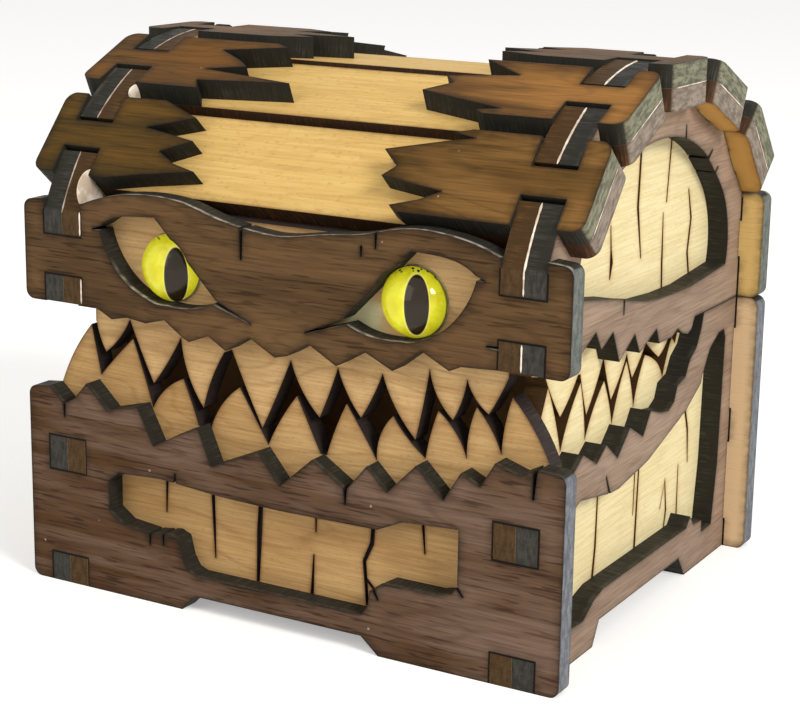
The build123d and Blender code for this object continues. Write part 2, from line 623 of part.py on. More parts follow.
def hinge_leaf(up, middle):
    """Brass leaf on the outer back face, with its knuckles wrapped round the pin."""
    clear = KNUCKLE_RADIUS + 2 * KNUCKLE_GAP
    low, high = sorted((JOINT_LINE + up * clear, JOINT_LINE + up * HINGE_REACH))
    x_range = (middle - HINGE_LENGTH / 2, middle + HINGE_LENGTH / 2)
    outer = JOINT_LINE + up * HINGE_REACH
    plate = rounded(rectangle(x_range, (low, high)), [(x, outer) for x in x_range], 1.2)
    for x, z in hinge_screw_places(up):
        if abs(x - middle) < HINGE_LENGTH:
            plate -= Pos(x, z) * Circle(SCREW_SHANK + FIT)
    leaf = frontal(plate, BACK + HINGE_LEAF, HINGE_LEAF)
    for start, length in knuckles(up, middle):
        low, high = sorted((JOINT_LINE, JOINT_LINE + up * (clear + 1)))
        leaf += frontal(rectangle((start, start + length), (low, high)), BACK + HINGE_LEAF,
                        HINGE_LEAF)
        barrel = Rot(0, 90, 0) * Cylinder(KNUCKLE_RADIUS, length)
        leaf += Pos(start + length / 2, HINGE_Y, JOINT_LINE) * barrel
    bore = Rot(0, 90, 0) * Cylinder(PIN_RADIUS + PIN_AIR, HINGE_LENGTH + 2)
    return leaf - Pos(middle, HINGE_Y, JOINT_LINE) * bore


def hinge_pin(middle):
    """Steel pin with a small head against each end of the barrel."""
    pin = Cylinder(PIN_RADIUS, HINGE_LENGTH)
    for side in (-1, 1):
        head = Cylinder(PIN_HEAD[0], PIN_HEAD[1])
        pin += Pos(0, 0, side * (HINGE_LENGTH + PIN_HEAD[1]) / 2) * head
    return Pos(middle, HINGE_Y, JOINT_LINE) * Rot(0, 90, 0) * pin


def hinge_screws(up):
    """Four brass round-head screws of one body, as separate solids."""
    head_radius, head_height = SCREW_HEAD
    ball = (head_radius ** 2 + head_height ** 2) / (2 * head_height)
    cap = Pos(0, 0, head_height - ball) * Sphere(ball)
    head = cap & Pos(0, 0, head_height / 2) * Cylinder(head_radius + 1, head_height)
    slot = Pos(0, 0, head_height) * Box(0.35, 2 * head_radius, 0.4)
    screw = head - slot + Pos(0, 0, -SCREW_LENGTH / 2) * Cylinder(SCREW_SHANK, SCREW_LENGTH)
    solids = []
    for x, z in hinge_screw_places(up):
        solids += (Pos(x, BACK + HINGE_LEAF, z) * Rot(-90, 0, 0) * screw).solids()
    return Compound(children=solids)


# ---------------------------------------------------------------- assembly

parts["base_front_panel"] = base_front_panel()
parts["base_front_lining"] = base_front_lining()
parts["base_back_panel"] = base_back_panel()
parts["base_back_lining"] = base_back_lining()
parts["base_floor"] = base_floor()
add_pair("base_side_panel", base_side_panel())
add_pair("base_side_lining", base_side_lining())

parts["lid_front_panel"] = lid_front_panel()
parts["lid_front_lining"] = lid_front_lining()
parts["lid_back_panel"] = lid_back_panel()
parts["lid_back_lining"] = lid_back_lining()
add_pair("gable_panel", gable_panel())
add_pair("gable_lining", gable_lining())

for number, (board_seat, layout) in enumerate(zip(ROOF_SEATS, ROOF_LAYOUT), start=1):
    left_end, right_end, end_for_end = layout
    parts[f"roof_plank_{number}"] = roof_plank(board_seat)
    parts[f"roof_cap_{number}_left"] = roof_cap(board_seat, left_end, end_for_end, True)
    parts[f"roof_cap_{number}_right"] = roof_cap(board_seat, right_end, end_for_end, False)

add_pair("eye_iris", eye_iris())
add_pair("eye_glass", eye_glass())

for side_name, hinge_middle in (("left", -HINGE_X), ("right", HINGE_X)):
    parts[f"hinge_leaf_base_{side_name}"] = hinge_leaf(-1, hinge_middle)
    parts[f"hinge_leaf_lid_{side_name}"] = hinge_leaf(1, hinge_middle)
    parts[f"hinge_pin_{side_name}"] = hinge_pin(hinge_middle)
parts["hinge_screws_base"] = hinge_screws(-1)
parts["hinge_screws_lid"] = hinge_screws(1)

os.makedirs("parts", exist_ok=True)
for name, shape in parts.items():
    export_step(Pos(0, -Y_CENTRE, 0) * shape, f"parts/{name}.step")
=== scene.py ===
"""Dice storage chest in laser-cut wood, dressed round its CAD frame.

The boards keep their CAD shapes and get worked wood: grain on their faces, soot beside the
cuts, burnt walls with the laser's stripes. The glass eyes, their printed discs and the glue
that was squeezed out of the seams are modelled here.
"""

import logging
import math
from collections import Counter
from dataclasses import dataclass, field, replace
from enum import Enum
from random import Random

import bpy
from bpy.types import Material, NodeSocket, NodeTree, Object
from mathutils import Matrix, Vector


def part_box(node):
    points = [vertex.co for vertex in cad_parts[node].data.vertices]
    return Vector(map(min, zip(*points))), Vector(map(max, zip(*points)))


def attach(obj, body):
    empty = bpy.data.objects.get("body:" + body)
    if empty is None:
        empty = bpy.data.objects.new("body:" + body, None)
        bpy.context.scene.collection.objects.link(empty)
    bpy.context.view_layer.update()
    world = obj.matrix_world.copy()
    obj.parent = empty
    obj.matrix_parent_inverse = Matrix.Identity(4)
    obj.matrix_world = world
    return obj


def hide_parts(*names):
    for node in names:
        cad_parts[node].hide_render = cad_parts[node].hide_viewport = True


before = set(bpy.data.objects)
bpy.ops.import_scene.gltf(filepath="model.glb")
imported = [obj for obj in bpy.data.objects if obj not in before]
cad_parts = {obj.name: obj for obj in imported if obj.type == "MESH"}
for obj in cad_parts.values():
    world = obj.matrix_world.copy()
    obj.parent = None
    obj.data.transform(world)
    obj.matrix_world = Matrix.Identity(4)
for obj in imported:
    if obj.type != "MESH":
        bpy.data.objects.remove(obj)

LOG = logging.getLogger("chest")
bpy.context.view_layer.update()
MM = 0.001
TOUCH = 0.05  # mm within which two places count as one
HEART = Vector((0, 0, 41.2)) * MM  # inside of the chest, which every sheet's back is turned to
SMOOTH = {"interpolation_type": "SMOOTHSTEP"}
RGBA = {"data_type": "RGBA"}
MULTIPLY = {"data_type": "RGBA", "blend_type": "MULTIPLY"}
FAC, OLD, NEW, MIXED = 0, 6, 7, 2  # a colour Mix node's factor, colours and output


# ------------ colours and nodes


def linear(hex_colour: str) -> tuple[float, float, float, float]:
    """Turns an sRGB hex colour into a linear one.

    Args:
        hex_colour: six hex digits with a leading #.

    Returns:
        Linear red, green and blue, and an alpha of 1.
    """
    values = []
    for start in (1, 3, 5):
        value = int(hex_colour[start : start + 2], 16) / 255
        values.append(value / 12.92 if value <= 0.04045 else ((value + 0.055) / 1.055) ** 2.4)
    return values[0], values[1], values[2], 1.0


def add(
    tree: NodeTree, kind: str, links: dict | tuple = (), output: int | str = 0, **settings
) -> NodeSocket:
    """Adds one shader node with its settings and links.

    Args:
        tree: node tree to add to.
        kind: the node's type, without ShaderNode.
        links: for each input, in order or by name or index, a constant, a hex colour or
            another node's output.
        output: name or index of the output that is wanted.
        settings: properties of the node itself.

    Returns:
        The wanted output, or the first input of a node that has none.
    """
    node = tree.nodes.new("ShaderNode" + kind)
    for name, value in settings.items():
        setattr(node, name, value)
    pairs = links.items() if isinstance(links, dict) else enumerate(links)
    for key, value in pairs:
        if isinstance(value, NodeSocket):
            tree.links.new(value, node.inputs[key])
        else:
            node.inputs[key].default_value = linear(value) if isinstance(value, str) else value
    return node.outputs[output] if node.outputs else node.inputs[0]


def laid_over(tree: NodeTree, colour: NodeSocket, layers: list[tuple]) -> NodeSocket:
    """Lays colours over one another.

    Args:
        tree: node tree to add to.
        colour: what lies at the bottom.
        layers: from the bottom up, each one's mask, colour and way of mixing.

    Returns:
        Colour socket.
    """
    for mask, over, mixing in layers:
        colour = add(tree, "Mix", {FAC: mask, OLD: colour, NEW: over}, MIXED, **mixing)
    return colour


def new_material(name: str) -> tuple[Material, NodeTree]:
    """Makes an empty node material.

    Args:
        name: the material's name.

    Returns:
        The material and its node tree.
    """
    material = bpy.data.materials.new(name)
    material.use_nodes = True
    material.node_tree.nodes.clear()
    return material, material.node_tree


def dress_piece(piece: Object, material: Material) -> None:
    """Gives a piece its one material."""
    piece.data.materials.clear()
    piece.data.materials.append(material)


# ------------ wood


class Grain(Enum):
    """Direction of a board's grain, and how many millimetres out its open ends begin."""

    ACROSS = (Vector((1, 0, 0)), 43.2)
    DEEP = (Vector((0, 1, 0)), 36.7)


@dataclass(frozen=True)
class SheetFinish:
    """Laser-cut 3.2 mm board: veneered faces and burnt walls."""

    light: str
    dark: str
    pore: str
    back: str  # the plain rear face
    soot: str  # stain beside the cuts
    char: str
    ash: str  # stripes in the char
    end_light: str
    end_dark: str
    grain: Grain = Grain.ACROSS
    contrast: float = 1.0
    # Strengths from 0 to 1
    pores: float = 0.95
    rings: float = 0.25
    flecks: float = 0.0
    rim: float = 0.75  # the black line on the edge of a cut
    haze: float = 0.5  # the brown smoke beside it
    specks: float = 0.5  # dust
    top_edge_highlight: float = 0.1  # painted highlight on upward-facing edges
    roughness: float = 0.55
    drift: float = 0.0  # painted light: how much lighter the veneer gets per mm towards the right; below nought, towards the left
    drift_from: float = 0.0  # mm from the middle, where the drift is nought
    stain: tuple[float, float, float] | None = None  # mm, middle in x and z, and radius


# Oiled walnut veneer: brown with wavy dark pores, lighter and pinker towards its right end as
# painted light from the right, and its outer end walls blue-grey as a painted sheen
WALNUT = SheetFinish(
    light="#796151", dark="#4F351B", pore="#38241A", back="#E2C298", soot="#1E1814",
    char="#292721", ash="#413F39", end_light="#7A7D83", end_dark="#585B61", drift=0.005,
)  # fmt: skip
# The eye panel is cut from a warmer and darker sheet, and its top edge has a strong painted
# highlight
WALNUT_BROW = replace(
    WALNUT, light="#6D5133", dark="#4E3922", pore="#382614", back="#DAB774",
    end_light="#6F746F", end_dark="#50544F", top_edge_highlight=1.0, drift=0.0,
)  # fmt: skip
# The sides catch light at a low angle: dusty, pinkish and nearly without pores. Their tabs
# end in grey char
WALNUT_SIDE = replace(
    WALNUT, light="#A38B77", dark="#8B7461", pore="#70594C", grain=Grain.DEEP, pores=0.3,
    haze=0.3, end_light="#43413C", end_dark="#2E2C28", drift=0.0,
)  # fmt: skip
# Roof caps: olive-brown to orange-brown, with mottled grey-green ends that are a painted sheen
WALNUT_ROOF = replace(
    WALNUT, light="#6C4B1E", dark="#453414", pore="#2F240D", end_light="#88856E",
    end_dark="#515243", contrast=1.2, pores=0.4, drift=0.0,
)  # fmt: skip
# Left front cap: darker, partly painted shade away from the light, partly the board's own tone
WALNUT_ROOF_LEFT = replace(WALNUT_ROOF, light="#654819", dark="#453310")
WALNUT_ROOF_UPPER = replace(WALNUT_ROOF, light="#71480E", dark="#4B320B")
# The right caps of the two front boards get lighter towards their ends: painted light from the
# right
WALNUT_ROOF_RIGHT = replace(
    WALNUT_ROOF, light="#815D30", dark="#4E3714", drift=0.03, drift_from=30.0
)
# Second right cap: brighter, partly painted light from the right lamp, partly its board's orange
# tone
WALNUT_ROOF_BRIGHT = replace(
    WALNUT_ROOF_RIGHT, light="#996A31", dark="#5B3C13", pore="#583B1C"
)

# Bare maple ply, tan in the shade of the front, with curved rings and browned cuts
MAPLE = SheetFinish(
    light="#C9A570", dark="#B08956", pore="#8C663C", back="#CBAA7A", soot="#5A3519",
    char="#312926", ash="#463833", end_light="#948678", end_dark="#6B6055", contrast=0.8,
    pores=0.1, rings=0.3, flecks=0.25, rim=0.6, haze=0.3, specks=0.0, top_edge_highlight=0.0, roughness=0.6,
    drift=0.003,
)  # fmt: skip
# Eye lining: lighter maple as painted light in the shaded openings; a glue skin fogs it by the
# right eye
MAPLE_EYES = replace(MAPLE, light="#DAB680", dark="#C29B68", stain=(11.6, 46.2, 4.6), drift=-0.005)
# Side linings: cream in the light from the right; the cuts are golden brown
MAPLE_SIDE = replace(
    MAPLE, light="#EADEB1", dark="#E1D0A1", pore="#C8AD74", soot="#A5702E", char="#412E19",
    ash="#634522", grain=Grain.DEEP, rings=0.1, end_light="#523E26", end_dark="#3F2D1A",
    drift=0.0,
)  # fmt: skip
# Roof planks: honey-coloured and almost plain; their walls are orange-brown under the char
MAPLE_ROOF = replace(
    MAPLE, light="#E0BD76", dark="#D4B06A", pore="#B0864A", back="#CB9C55", char="#3A291C",
    ash="#744925", contrast=0.6, rings=0.12, flecks=0.35, drift=0.0,
)  # fmt: skip

FINISHES = {
    WALNUT: ("base_front_panel", "base_back_panel"),
    WALNUT_BROW: ("lid_front_panel", "lid_back_panel"),
    WALNUT_SIDE: ("base_side_panel", "gable_panel"),
    WALNUT_ROOF: ("roof_cap_4", "roof_cap_5"),
    WALNUT_ROOF_LEFT: ("roof_cap_1_left",),
    WALNUT_ROOF_UPPER: ("roof_cap_2_left", "roof_cap_3"),
    WALNUT_ROOF_RIGHT: ("roof_cap_1_right",),
    WALNUT_ROOF_BRIGHT: ("roof_cap_2_right",),
    MAPLE: ("base_front_lining", "base_back_lining", "base_floor", "lid_back_lining"),
    MAPLE_EYES: ("lid_front_lining",),
    MAPLE_SIDE: ("base_side_lining", "gable_lining"),
    MAPLE_ROOF: ("roof_plank",),
}


@dataclass(frozen=True)
class Pattern:
    """Noise stretched over a board: its waves per mm along, across and through the sheet."""

    along: float
    across: float
    through: float
    detail: float = 2.0
    distortion: float = 0.0
    roughness: float = 0.5

    def over(self, tree: NodeTree, sheet: NodeSocket) -> NodeSocket:
        """Adds the pattern to a material.

        Args:
            tree: the material's node tree.
            sheet: position in the sheet in millimetres.

        Returns:
            Socket of the noise, from 0 to 1.
        """
        waves = (self.along, self.across, self.through)
        stretched = add(tree, "VectorMath", (sheet, waves), operation="MULTIPLY")
        links = {
            "Vector": stretched, "Scale": 1, "Detail": self.detail, "Roughness": self.roughness,
            "Distortion": self.distortion,
        }  # fmt: skip
        return add(tree, "TexNoise", links)


# Bands and clouds of the veneer's tone
BANDS = Pattern(0.022, 0.28, 0.28, detail=4, distortion=0.8)
CLOUDS = Pattern(0.05, 0.1, 0.1)
# Growth rings follow the level lines of a slow field, as on a flat-sawn face
HILLS = Pattern(0.02, 0.1, 0.1, detail=1)
# Fibres 0.15 mm apart are too fine for the render, so they are drawn twice as wide
FIBRES = Pattern(0.12, 3.2, 3.2, detail=3)
# Open pores: wavy dark dashes 3 to 8 mm long
DASHES = Pattern(0.17, 2.7, 2.7, detail=1.5, distortion=0.35)
# Short pale-brown flecks of maple, under 1 mm long
FLECKS = Pattern(1.1, 2.4, 2.4, detail=1)
# Smoke that lies unevenly beside a cut
SMOKE = Pattern(0.5, 0.8, 0.8, detail=3)
# The laser leaves stripes through the sheet, about 0.2 mm apart, in patches
STRIPES = Pattern(4.5, 4.5, 0.3)
PATCHES = Pattern(0.7, 0.7, 0.7, detail=4)
# Mottling of the outer ends: painted sheen on most boards, the tab ends' own char on the sides
BLOTCHES = Pattern(1.0, 0.55, 1.6, detail=6, roughness=0.65)


@dataclass
class Board:
    """One laser-cut board of the frame and the directions of its sheet."""

    node: str
    finish: SheetFinish
    seed: int
    normal: Vector = field(init=False)
    grain: Vector = field(init=False)
    front: float = field(init=False)
    back: float = field(init=False)
    tree: NodeTree = field(init=False)

    # In millimetres
    face_depth: float = 0.01  # wall under a face that still shows its veneer
    speck_spacing: float = 5.0  # between the places where a fleck of dust may sit
    cut_shift: float = 37.0  # along the wood, from the place of one board to that of the next
    rim_reach: float = 0.45  # black beside a cut
    haze_reach: float = 1.6  # brown beside a cut
    gap: tuple[float, float] = (0.34, 0.22)  # from a tab to the end of its gap's painted shade, and where it is full black
    edge: float = 0.09  # rounding that the light shows on the cut edges
    relief: float = 0.1  # depth of the fibres and stripes
    end_char_and_sheen_blend: float = 0.3  # over which the char turns to the end colours (painted sheen; on the sides, the tabs' char)
    # Tone of the veneer: its mean, half its range, and how its bands and clouds are weighed
    tone: float = 0.525
    tone_range: float = 0.17
    band_weight: float = 0.6
    cloud_weight: float = 0.45
    rings_per_hill: float = 9.0
    sheen: tuple[float, float] = (0.12, -0.08)  # change of roughness, dullest and sleekest
    gap_shade: str = "#120D0A"
    glue_fog_and_light: str = "#D2D3A6"
    dust: str = "#C9B9A6"
    # colour of the painted highlight on upward edges
    top_edge_highlight_tint: str = "#B0A594"

    def __post_init__(self) -> None:
        """Measures the sheet: its broad face's normal, and where both faces lie along it."""
        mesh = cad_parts[self.node].data
        areas = Counter()
        normals = {}
        for polygon in mesh.polygons:
            key = tuple(round(value, 1) for value in polygon.normal)
            areas[key] += polygon.area
            normals[key] = polygon.normal.copy()
        self.normal = normals[max(areas, key=areas.get)]
        middle = sum((v.co for v in mesh.vertices), Vector()) / len(mesh.vertices)
        outwards = Vector((0, 0, 1)) if self.node == "base_floor" else middle - HEART
        if self.normal.dot(outwards) < 0:
            self.normal.negate()
        depths = [v.co.dot(self.normal) / MM for v in mesh.vertices]
        self.back, self.front = min(depths), max(depths)
        grain = self.finish.grain.value[0]
        self.grain = (grain - self.normal * grain.dot(self.normal)).normalized()

    def dress(self) -> None:
        """Builds the board's material and gives it to the CAD node."""
        material, tree = new_material(f"laser_cut_{self.node}")
        self.tree = tree
        place = add(tree, "TexCoord", output="Object")
        axes = []
        for axis in (self.grain, self.normal.cross(self.grain), self.normal):
            links = (place, axis / MM)
            axes.append(add(tree, "VectorMath", links, "Value", operation="DOT_PRODUCT"))
        along, across, depth = axes
        shifted = add(tree, "Math", (along, self.cut_shift * self.seed), operation="ADD")
        sheet = add(tree, "CombineXYZ", (shifted, across, depth))

        below_front = add(tree, "Math", (self.front, depth), operation="SUBTRACT")
        above_back = add(tree, "Math", (depth, self.back), operation="SUBTRACT")
        on_front = add(tree, "Math", (below_front, self.face_depth), operation="LESS_THAN")
        on_back = add(tree, "Math", (above_back, self.face_depth), operation="LESS_THAN")
        on_face = add(tree, "Math", (on_front, on_back), operation="MAXIMUM")
        rim = self.nearness_of_cuts(self.rim_reach)
        haze = self.nearness_of_cuts(self.haze_reach)

        face, relief = self.face(sheet, on_back, rim, haze)
        if self.finish.stain:
            face = self.stained(face, place, on_front)
        # Painted shade: the narrow gap round each tab is drawn near-black on the face and sunk in
        # the bump
        if self.node.endswith(("front_panel", "back_panel")):
            gap = self.gaps(place)
            face = add(tree, "Mix", {FAC: gap, OLD: face, NEW: self.gap_shade}, MIXED, **RGBA)
            relief = add(tree, "Math", (relief, gap), operation="SUBTRACT")
        wall, stripes = self.wall(sheet, along, below_front, rim)
        colour = add(tree, "Mix", {FAC: on_face, OLD: wall, NEW: face}, MIXED, **RGBA)
        height = add(tree, "Mix", {"Factor": on_face, "A": stripes, "B": relief})
        edges = add(tree, "Bevel", {"Radius": self.edge * MM}, samples=4)
        links = {
            "Strength": 0.5, "Distance": self.relief * MM, "Height": height, "Normal": edges,
        }  # fmt: skip
        bump = add(tree, "Bump", links)
        dull, sleek = (self.finish.roughness + change for change in self.sheen)
        rough = add(tree, "MapRange", (height, 0.2, 0.9, dull, sleek), **SMOOTH)
        links = {
            "Base Color": colour, "Roughness": rough, "Normal": bump, "IOR": 1.5,
            "Specular IOR Level": 0.1,
        }  # fmt: skip
        add(tree, "OutputMaterial", (add(tree, "BsdfPrincipled", links),))
        dress_piece(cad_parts[self.node], material)

    def tab_ends(self) -> list[tuple[Vector, Vector]]:
        """Finds the ends of the tabs that fill the panel's slots.

        Returns:
            Middle and half-size of each end, in millimetres.
        """
        joined = {"base": "base_side_", "lid": "gable_"}[self.node.split("_")[0]]
        ends = []
        for side in ("left", "right"):
            spans, across = [], []
            for kind in ("panel", "lining"):
                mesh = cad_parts[f"{joined}{kind}_{side}"].data
                for polygon in mesh.polygons:
                    corners = [mesh.vertices[index].co / MM for index in polygon.vertices]
                    if all(abs(c.dot(self.normal) - self.front) < TOUCH for c in corners):
                        heights = [corner.z for corner in corners]
                        spans.append([min(heights), max(heights)])
                        across += [corner.x for corner in corners]
            runs = []
            for low, high in sorted(spans):
                if runs and low <= runs[-1][1] + 2 * TOUCH:
                    runs[-1][1] = max(runs[-1][1], high)
                else:
                    runs.append([low, high])
            left, right = min(across), max(across)
            for low, high in runs:
                middle = Vector(((left + right) / 2, 0, (low + high) / 2))
                ends.append((middle, Vector(((right - left) / 2, 0, (high - low) / 2))))
        return ends

    def gaps(self, place: NodeSocket) -> NodeSocket:
        """Masks the painted shade of the gaps round the tabs, which are a quarter of a millimetre
        wide.

        Args:
            place: position in metres.

        Returns:
            Socket that is 1 in a gap and 0 elsewhere.
        """
        tree = self.tree
        nearest = 99.0  # metres, farther than any tab
        for middle, half in self.tab_ends():
            offset = add(tree, "VectorMath", (place, middle * MM), operation="SUBTRACT")
            offset = add(tree, "VectorMath", (offset,), operation="ABSOLUTE")
            offset = add(tree, "VectorMath", (offset, half * MM), operation="SUBTRACT")
            beside = add(tree, "SeparateXYZ", (offset,), "X")
            outside = add(tree, "Math", (beside, beside.node.outputs["Z"]), operation="MAXIMUM")
            nearest = add(tree, "Math", (outside, nearest), operation="MINIMUM")
        ends, full = (reach * MM for reach in self.gap)
        return add(tree, "MapRange", (nearest, ends, full, 0, 1), **SMOOTH)

    def stained(
        self, colour: NodeSocket, place: NodeSocket, on_front: NodeSocket
    ) -> NodeSocket:
        """Fogs the outer face with a pale skin of glue, lightened as painted light in the opening's
        shade.

        Args:
            colour: the face's colour.
            place: position in metres.
            on_front: 1 on the outer face.

        Returns:
            Colour socket.
        """
        tree = self.tree
        x, z, radius = self.finish.stain
        flat = add(tree, "VectorMath", (place, (1 / MM, 0, 1 / MM)), operation="MULTIPLY")
        links = (flat, (x, 0, z))
        distance = add(tree, "VectorMath", links, "Value", operation="DISTANCE")
        cloud = add(tree, "TexNoise", {"Vector": flat, "Scale": 0.4, "Detail": 3})
        uneven = add(tree, "Math", (cloud, 3.0, distance), operation="MULTIPLY_ADD")
        fog = add(tree, "MapRange", (uneven, radius + 1.5, radius - 1.5, 0, 0.75), **SMOOTH)
        fog = add(tree, "Math", (fog, on_front), operation="MULTIPLY")
        return add(tree, "Mix", {FAC: fog, OLD: colour, NEW: self.glue_fog_and_light}, MIXED, **RGBA)

    def nearness_of_cuts(self, reach: float) -> NodeSocket:
        """How close a point is to an edge of the sheet.

        Args:
            reach: distance in millimetres at which it begins.

        Returns:
            Socket that runs from 0 inside to 1 on the edge.
        """
        room = add(
            self.tree, "AmbientOcclusion", {"Distance": reach * MM}, "AO",
            samples=4, inside=True, only_local=True,
        )  # fmt: skip
        return add(self.tree, "MapRange", (room, 1.0, 0.5, 0.0, 1.0))

    def face(
        self, sheet: NodeSocket, on_back: NodeSocket, rim: NodeSocket, haze: NodeSocket
    ) -> tuple[NodeSocket, NodeSocket]:
        """Colour and relief of the two broad faces.

        Args:
            sheet: position along the grain, across it and through the sheet, in millimetres.
            on_back: 1 on the sheet's rear face.
            rim: 1 on the very edge of a cut.
            haze: 1 on the edge, and still something 1 mm away.

        Returns:
            Colour socket and height socket.
        """
        tree, finish = self.tree, self.finish
        clouds = (CLOUDS.over(tree, sheet), self.cloud_weight)
        clouds = add(tree, "Math", clouds, operation="MULTIPLY")
        links = (BANDS.over(tree, sheet), self.band_weight, clouds)
        tone = add(tree, "Math", links, operation="MULTIPLY_ADD")
        spread = self.tone_range / finish.contrast
        links = (tone, self.tone - spread, self.tone + spread, 0, 1)
        tone = add(tree, "MapRange", links, **SMOOTH)
        # Painted light: the tone rises along the board, lighter towards the side the light comes
        # from
        if finish.drift:
            nought = self.cut_shift * self.seed + finish.drift_from
            links = (add(tree, "SeparateXYZ", (sheet,)), nought)
            place = add(tree, "Math", links, operation="SUBTRACT")
            tone = add(tree, "Math", (place, finish.drift, tone), operation="MULTIPLY_ADD")
        links = {FAC: tone, OLD: finish.dark, NEW: finish.light}
        colour = add(tree, "Mix", links, MIXED, **RGBA)

        links = (HILLS.over(tree, sheet), self.rings_per_hill)
        climb = add(tree, "Math", links, operation="MULTIPLY")
        wave = add(tree, "Math", (climb, 0.5), operation="PINGPONG")
        ring = add(tree, "MapRange", (wave, 0.14, 0.0, 0, finish.rings), **SMOOTH)
        fibre = FIBRES.over(tree, sheet)
        faint = add(tree, "MapRange", (fibre, 0.35, 0.65, 0.22, 0.0), **SMOOTH)
        # Pores gather where the wood is dark
        dash = DASHES.over(tree, sheet)
        pore = add(tree, "MapRange", (dash, 0.56, 0.65, 0, finish.pores), **SMOOTH)
        gather = add(tree, "MapRange", (tone, 0.9, 0.2, 0.35, 1.0), **SMOOTH)
        pore = add(tree, "Math", (pore, gather), operation="MULTIPLY")
        layers = [(ring, finish.pore, RGBA), (faint, finish.pore, MULTIPLY)]
        layers.append((pore, finish.pore, RGBA))
        if finish.flecks:
            links = (FLECKS.over(tree, sheet), 0.6, 0.72, 0, finish.flecks)
            layers.append((add(tree, "MapRange", links, **SMOOTH), finish.pore, RGBA))
        layers.append((on_back, finish.back, RGBA))
        if finish.specks:
            layers.append((self.specks(sheet), self.dust, RGBA))

        # Smoke browns the wood for about a millimetre, and the rim of the cut is black
        drift = add(tree, "MapRange", (SMOKE.over(tree, sheet), 0.3, 0.7, 0.5, 1.3), **SMOOTH)
        smoke = add(tree, "Math", (haze, finish.haze), operation="MULTIPLY")
        smoke = add(tree, "Math", (smoke, drift), operation="MULTIPLY", use_clamp=True)
        black = add(tree, "Math", (rim, finish.rim), operation="MULTIPLY")
        layers += [(smoke, finish.soot, MULTIPLY), (black, finish.soot, RGBA)]
        smooth = add(tree, "MapRange", (fibre, 0.2, 0.8, 0.55, 0.8), **SMOOTH)
        relief = add(tree, "Math", (smooth, pore), operation="SUBTRACT")
        return laid_over(tree, colour, layers), relief

    def specks(self, sheet: NodeSocket) -> NodeSocket:
        """Masks pale flecks of dust on some places of the veneer.

        Args:
            sheet: position in the sheet in millimetres.

        Returns:
            Mask socket.
        """
        tree = self.tree
        scaled = add(tree, "VectorMath", {0: sheet, 3: 1 / self.speck_spacing}, operation="SCALE")
        distance = add(tree, "TexVoronoi", {"Vector": scaled, "Scale": 1}, "Distance")
        dot = add(tree, "MapRange", (distance, 0.05, 0.02, 0, self.finish.specks), **SMOOTH)
        chance = add(tree, "SeparateColor", (distance.node.outputs["Color"],))
        some = add(tree, "Math", (chance, 0.6), operation="GREATER_THAN")
        return add(tree, "Math", (dot, some), operation="MULTIPLY")

    def wall(
        self, sheet: NodeSocket, along: NodeSocket, below_front: NodeSocket, rim: NodeSocket
    ) -> tuple[NodeSocket, NodeSocket]:
        """Colour and relief of the burnt walls.

        Args:
            sheet: position in the sheet in millimetres.
            along: distance along the grain.
            below_front: depth under the outer face.
            rim: 1 on the very edge of the wall.

        Returns:
            Colour socket and height socket.
        """
        tree, finish = self.tree, self.finish
        stripes = STRIPES.over(tree, sheet)
        bright = add(tree, "MapRange", (stripes, 0.4, 0.75, 0, 1), **SMOOTH)
        patch = add(tree, "MapRange", (PATCHES.over(tree, sheet), 0.35, 0.65, 0.2, 1), **SMOOTH)
        ash = add(tree, "Math", (bright, patch), operation="MULTIPLY")
        # The char is thinner away from the face that the laser entered
        deep = add(tree, "MapRange", (below_front, 0.8, 2.6, 0.4, 1), **SMOOTH)
        ash = add(tree, "Math", (ash, deep), operation="MULTIPLY")
        colour = add(tree, "Mix", {FAC: ash, OLD: finish.char, NEW: finish.ash}, MIXED, **RGBA)

        # Outer ends: a painted sheen on most boards, the tab ends' own char on the sides
        reach = self.finish.grain.value[1]
        distance = add(tree, "Math", (along,), operation="ABSOLUTE")
        links = (distance, reach, reach + self.end_char_and_sheen_blend, 0, 1)
        outside = add(tree, "MapRange", links, **SMOOTH)
        blotch = add(tree, "MapRange", (BLOTCHES.over(tree, sheet), 0.35, 0.65, 0, 1), **SMOOTH)
        links = {FAC: blotch, OLD: finish.end_dark, NEW: finish.end_light}
        end = add(tree, "Mix", links, MIXED, **RGBA)

        # Painted highlight: walls that point upwards turn a pale fibre colour along the outer
        # corner
        up = add(tree, "SeparateXYZ", (add(tree, "TexCoord", output="Normal"),), "Z")
        up = add(tree, "MapRange", (up, 0.5, 0.9, 0, finish.top_edge_highlight), **SMOOTH)
        corner = add(tree, "MapRange", (below_front, 0.95, 0.35, 0, 1), **SMOOTH)
        top_edge_highlight = add(tree, "Math", (up, corner), operation="MULTIPLY")
        top_edge_highlight = add(tree, "Math", (top_edge_highlight, patch), operation="MULTIPLY")
        dark = add(tree, "Math", (rim, 0.45), operation="MULTIPLY")
        layers = [(outside, end, RGBA), (top_edge_highlight, self.top_edge_highlight_tint, RGBA), (dark, finish.char, RGBA)]
        colour = laid_over(tree, colour, layers)
        return colour, add(tree, "MapRange", (stripes, 0.3, 0.7, 0.2, 0.8), **SMOOTH)


# ------------ modelling helpers


def clear_selection() -> None:
    """Deselects every object, because an operator acts on all that is selected."""
    bpy.ops.object.select_all(action="DESELECT")


def settle(piece: Object, name: str) -> Object:
    """Names a new piece and moves its place into its mesh, so that it sits at the origin.

    Args:
        piece: what was just modelled.
        name: its name.

    Returns:
        The same piece.
    """
    piece.name = name
    piece.data.transform(piece.matrix_world)
    piece.matrix_world = Matrix.Identity(4)
    return piece


